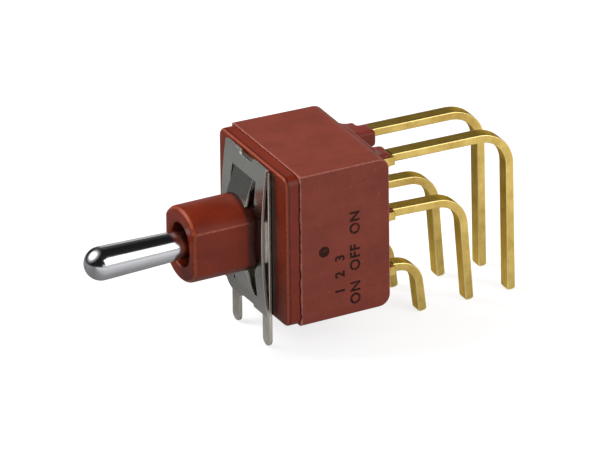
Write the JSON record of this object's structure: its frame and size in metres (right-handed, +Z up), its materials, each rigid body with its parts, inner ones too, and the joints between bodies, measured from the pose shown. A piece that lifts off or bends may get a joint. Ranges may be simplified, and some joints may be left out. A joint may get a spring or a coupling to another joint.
{
  "type": "toggle switch",
  "caption": "Sealed miniature toggle switch for upright circuit board mounting: bat lever in a flatted bushing, support bracket with retaining clip, bent terminals in staggered rows.",
  "frame": {"origin": "middle of the case's underside, the face that seats on the circuit board", "axes": "+Z up from the board; the toggle points to -Y and the terminals leave the case to +Y; +X is to the right seen from the toggle's tip"},
  "size_m": [0.0114, 0.036, 0.0155],
  "materials": {
    "case_resin": "satin moulded red-brown resin",
    "cover_resin": "satin moulded red-brown resin",
    "lever_chrome": "bright plated",
    "pin_steel": "ground",
    "ring_rubber": "dull",
    "carrier_resin": "moulded",
    "plunger_resin": "moulded",
    "spring_steel": "drawn wire",
    "contact_gold": "thin gold plating",
    "potting": "glossy poured resin",
    "bracket_tin": "tin plated",
    "clip_steel": "spring steel, satin"
  },
  "bodies": {
    "base": {"case": "case_resin", "cover_bushing": "cover_resin", "lever_o_ring": "ring_rubber", "terminal_seal": "potting", "support_bracket": "bracket_tin", "retaining_clip": "clip_steel", "terminal_left_bottom": "contact_gold", "terminal_left_middle": "contact_gold", "terminal_left_top": "contact_gold", "terminal_right_bottom": "contact_gold", "terminal_right_middle": "contact_gold", "terminal_right_top": "contact_gold"},
    "toggle": {"toggle_lever": "lever_chrome", "pivot_pin": "pin_steel", "plunger_carrier": "carrier_resin", "plunger_spring_left": "spring_steel", "plunger_spring_right": "spring_steel"},
    "plunger_left": {"plunger_left": "plunger_resin"},
    "plunger_right": {"plunger_right": "plunger_resin"},
    "rocker_left": {"rocker_contact_left": "contact_gold"},
    "rocker_right": {"rocker_contact_right": "contact_gold"}
  },
  "joints": [
    {"name": "toggle_throw", "type": "hinge", "parent": "base", "child": "toggle", "pos_m": [0, -0.00904, 0.0064], "axis": [1, 0, 0], "range_deg": [-12.5, 12.5]},
    {"name": "plunger_slide_left", "type": "slide", "parent": "toggle", "child": "plunger_left", "axis": [0, 1, 0], "range_m": [-0.0005, 0], "stiffness_N_per_m": 40, "deforming": ["plunger_spring_left"]},
    {"name": "plunger_slide_right", "type": "slide", "parent": "toggle", "child": "plunger_right", "axis": [0, 1, 0], "range_m": [-0.0005, 0], "stiffness_N_per_m": 40, "deforming": ["plunger_spring_right"]},
    {"name": "rocker_swing_left", "type": "hinge", "parent": "base", "child": "rocker_left", "pos_m": [-0.00239, 0.00112, 0.0064], "axis": [1, 0, 0], "range_deg": [-5, 5]},
    {"name": "rocker_swing_right", "type": "hinge", "parent": "base", "child": "rocker_right", "pos_m": [0.00239, 0.00112, 0.0064], "axis": [1, 0, 0], "range_deg": [-5, 5]}
  ],
  "couplings": [
    {"joint": "rocker_swing_left", "follows": "toggle_throw", "ratio": -0.4},
    {"joint": "rocker_swing_right", "follows": "toggle_throw", "ratio": -0.4}
  ]
}
